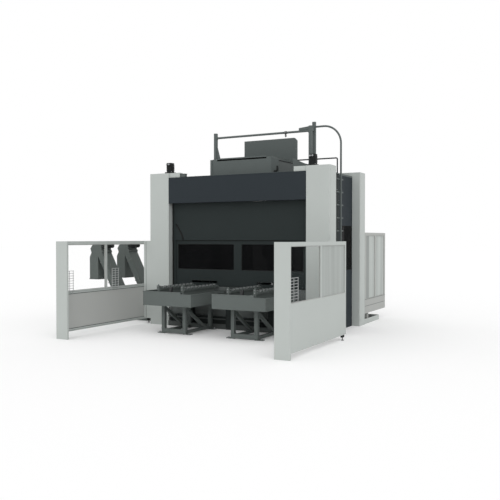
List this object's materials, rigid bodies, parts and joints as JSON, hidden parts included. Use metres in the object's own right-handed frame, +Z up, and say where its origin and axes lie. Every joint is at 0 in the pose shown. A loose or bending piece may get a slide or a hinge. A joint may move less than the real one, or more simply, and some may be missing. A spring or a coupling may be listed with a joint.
{
  "type": "cnc machining center",
  "caption": "Horizontal machining cell behind a lifting windowed door, with pallet stands, guard fences, chip conveyors, roof ducts, ladder and a rotary table under a column.",
  "frame": {"origin": "on the floor, in the middle of the underside of the front sill beam", "axes": "+X to the viewer's right along the front, +Y from the front to the back, +Z up"},
  "size_m": [7.313, 6.805, 4.64],
  "materials": {
    "header_paint": "matte",
    "body_grey": "satin",
    "cabin_dark": "satin",
    "lower_dark": "matte",
    "roof_grey": "satin",
    "stand_grey": "satin",
    "conveyor_dark": "matte",
    "machine_iron": "matte",
    "slide_steel": "satin",
    "window_tint": "gloss",
    "clear_pane": "gloss",
    "drive_black": "matte",
    "belt_rubber": "matte"
  },
  "bodies": {
    "frame": {"sill_beam": "lower_dark", "front_column_left": "body_grey", "front_column_right": "body_grey", "rear_column_left": "body_grey", "rear_column_right": "body_grey", "header_fascia": "header_paint", "shoulder_blocks": "body_grey", "upper_front_panel": "cabin_dark", "lower_front_wall": "lower_dark", "side_wall_left": "header_paint", "side_wall_right": "header_paint", "side_windows": "window_tint", "rear_wall": "header_paint", "roof_panel": "roof_grey", "roof_trough": "roof_grey", "trough_lid": "roof_grey", "rear_hood": "roof_grey", "mast_left": "roof_grey", "mast_right": "roof_grey", "anchor_rail": "roof_grey", "ladder": "roof_grey", "handrail": "roof_grey", "service_duct": "cabin_dark", "door_guide_rails": "slide_steel", "door_drive_motors": "drive_black", "door_belts": "belt_rubber", "fence_left": "body_grey", "fence_right": "body_grey", "guard_windows": "clear_pane", "wire_racks": "drive_black", "black_fittings": "drive_black", "rear_guards": "body_grey", "floor_trays": "body_grey", "conveyor_housing_front": "conveyor_dark", "conveyor_housing_rear": "conveyor_dark", "conveyor_motors": "drive_black", "stand_frame_left": "stand_grey", "stand_frame_right": "stand_grey", "drip_trays": "stand_grey", "roller_rails": "stand_grey", "table_bed": "machine_iron", "column_bed": "machine_iron"},
    "door": {"lifting_door": "cabin_dark", "door_windows": "window_tint", "door_carriages": "drive_black"},
    "sync_shaft": {"door_sync_shaft": "slide_steel"},
    "idler_left": {"door_idler_left": "slide_steel"},
    "idler_right": {"door_idler_right": "slide_steel"},
    "ring": {"anchor_ring": "slide_steel"},
    "chip_shaft_front": {"conveyor_shaft_front": "slide_steel"},
    "chip_shaft_rear": {"conveyor_shaft_rear": "slide_steel"},
    "shuttle_l": {"shuttle_left": "drive_black"},
    "shuttle_r": {"shuttle_right": "drive_black"},
    "table": {"table_slide": "machine_iron"},
    "rotary": {"rotary_table": "slide_steel", "machine_pallet": "slide_steel"},
    "column": {"machine_column": "machine_iron"},
    "head": {"headstock": "machine_iron"},
    "spindle_rotor": {"spindle": "slide_steel"},
    "magazine": {"tool_wheel": "slide_steel"}
  },
  "joints": [
    {"name": "door_lift", "type": "slide", "parent": "frame", "child": "door", "axis": [0, 0, 1], "range_m": [0, 1.05]},
    {"name": "sync_turn", "type": "hinge", "parent": "frame", "child": "sync_shaft", "pos_m": [0, 0.32, 3.4], "axis": [-1, 0, 0], "continuous": true},
    {"name": "idler_left_turn", "type": "hinge", "parent": "frame", "child": "idler_left", "pos_m": [-1.72, 0.32, 0.26], "axis": [-1, 0, 0], "continuous": true},
    {"name": "idler_right_turn", "type": "hinge", "parent": "frame", "child": "idler_right", "pos_m": [1.72, 0.32, 0.26], "axis": [-1, 0, 0], "continuous": true},
    {"name": "ring_slide", "type": "slide", "parent": "frame", "child": "ring", "axis": [1, 0, 0], "range_m": [-1.74, 0.29]},
    {"name": "chip_front_turn", "type": "hinge", "parent": "frame", "child": "chip_shaft_front", "pos_m": [-4.32, 0.61, 1.79], "axis": [0, 1, 0], "continuous": true},
    {"name": "chip_rear_turn", "type": "hinge", "parent": "frame", "child": "chip_shaft_rear", "pos_m": [-4.32, 1.71, 1.79], "axis": [0, 1, 0], "continuous": true},
    {"name": "shuttle_left_feed", "type": "slide", "parent": "frame", "child": "shuttle_l", "axis": [0, 1, 0], "range_m": [0, 0.95]},
    {"name": "shuttle_right_feed", "type": "slide", "parent": "frame", "child": "shuttle_r", "axis": [0, 1, 0], "range_m": [0, 0.95]},
    {"name": "table_x", "type": "slide", "parent": "frame", "child": "table", "axis": [1, 0, 0], "range_m": [-1, 1]},
    {"name": "rotary_b", "type": "hinge", "parent": "table", "child": "rotary", "pos_m": [0, 1.19, 0], "axis": [0, 0, 1], "continuous": true},
    {"name": "column_y", "type": "slide", "parent": "frame", "child": "column", "axis": [0, 1, 0], "range_m": [-0.78, 0]},
    {"name": "head_z", "type": "slide", "parent": "column", "child": "head", "axis": [0, 0, 1], "range_m": [-0.35, 0.75]},
    {"name": "spindle_turn", "type": "hinge", "parent": "head", "child": "spindle_rotor", "pos_m": [0, 1.9, 1.85], "axis": [0, 1, 0], "continuous": true},
    {"name": "magazine_turn", "type": "hinge", "parent": "frame", "child": "magazine", "pos_m": [-1.18, 2, 1.95], "axis": [0, 1, 0], "continuous": true}
  ],
  "couplings": [
    {"joint": "sync_turn", "follows": "door_lift", "rad_per_m": 26.455},
    {"joint": "idler_left_turn", "follows": "door_lift", "rad_per_m": 26.455},
    {"joint": "idler_right_turn", "follows": "door_lift", "rad_per_m": 26.455}
  ]
}
